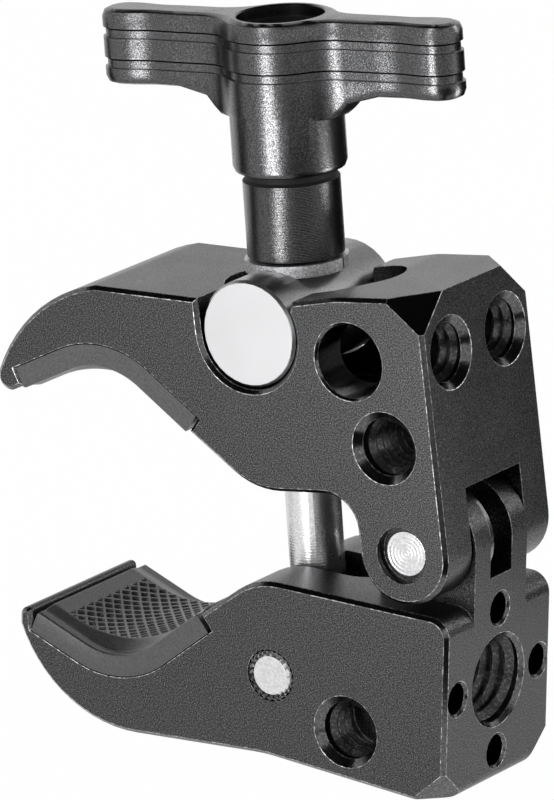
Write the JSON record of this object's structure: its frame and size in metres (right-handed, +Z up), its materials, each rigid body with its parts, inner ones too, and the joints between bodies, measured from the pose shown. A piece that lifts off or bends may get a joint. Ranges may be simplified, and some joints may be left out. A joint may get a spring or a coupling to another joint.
{
  "type": "super clamp",
  "caption": "Two hinged jaws with padded recesses, closed by a winged nut on a swinging screw, with threaded holes for camera mounts.",
  "frame": {"origin": "bottom centre of the bounding box, on the surface that the lower jaw stands on", "axes": "+X from the jaws' noses to the hinge, +Y across the jaws along the hinge pin, +Z up from the lower jaw to the handle"},
  "size_m": [0.058, 0.0208, 0.0821],
  "materials": {
    "black_anodised": "bead-blasted, black anodised",
    "black_rubber": "matte",
    "bright_steel": "turned, bright",
    "grey_steel": "satin grey",
    "spring_steel": "dark",
    "satin_black": "satin black"
  },
  "bodies": {
    "lower_jaw": {"lower_jaw": "black_anodised", "lower_pad": "black_rubber", "hinge_spring": "spring_steel", "hinge_washer": "bright_steel", "rod_pivot_pin": "bright_steel"},
    "upper_jaw": {"upper_jaw": "black_anodised", "upper_pad": "black_rubber", "hinge_pin": "bright_steel"},
    "trunnion": {"trunnion": "grey_steel", "thrust_washer": "bright_steel"},
    "handle": {"wing_handle": "satin_black", "nut_sleeve": "satin_black"},
    "screw": {"screw_rod": "bright_steel", "stop_ring": "spring_steel"}
  },
  "joints": [
    {"name": "handle_turn", "type": "hinge", "parent": "trunnion", "child": "handle", "pos_m": [0.00308, 0, 0.04754], "axis": [-0.1012, 0, 0.9949], "range_deg": [-2420, 1052.7]},
    {"name": "jaw_hinge", "type": "hinge", "parent": "lower_jaw", "child": "upper_jaw", "pos_m": [0.02309, 0, 0.02688], "axis": [0, 1, 0], "range_deg": [-20.3, 9]},
    {"name": "trunnion_turn", "type": "hinge", "parent": "upper_jaw", "child": "trunnion", "pos_m": [0.00308, 0, 0.04754], "axis": [0, 1, 0], "range_deg": [-3.6, 8]},
    {"name": "rod_pivot", "type": "hinge", "parent": "lower_jaw", "child": "screw", "pos_m": [0.00687, 0, 0.01024], "axis": [0, 1, 0], "range_deg": [-12.6, 5.7]}
  ],
  "couplings": [
    {"joint": "jaw_hinge", "follows": "handle_turn", "ratio": 0.0082645},
    {"joint": "trunnion_turn", "follows": "handle_turn", "ratio": -0.0031818},
    {"joint": "rod_pivot", "follows": "handle_turn", "ratio": 0.0050826}
  ]
}
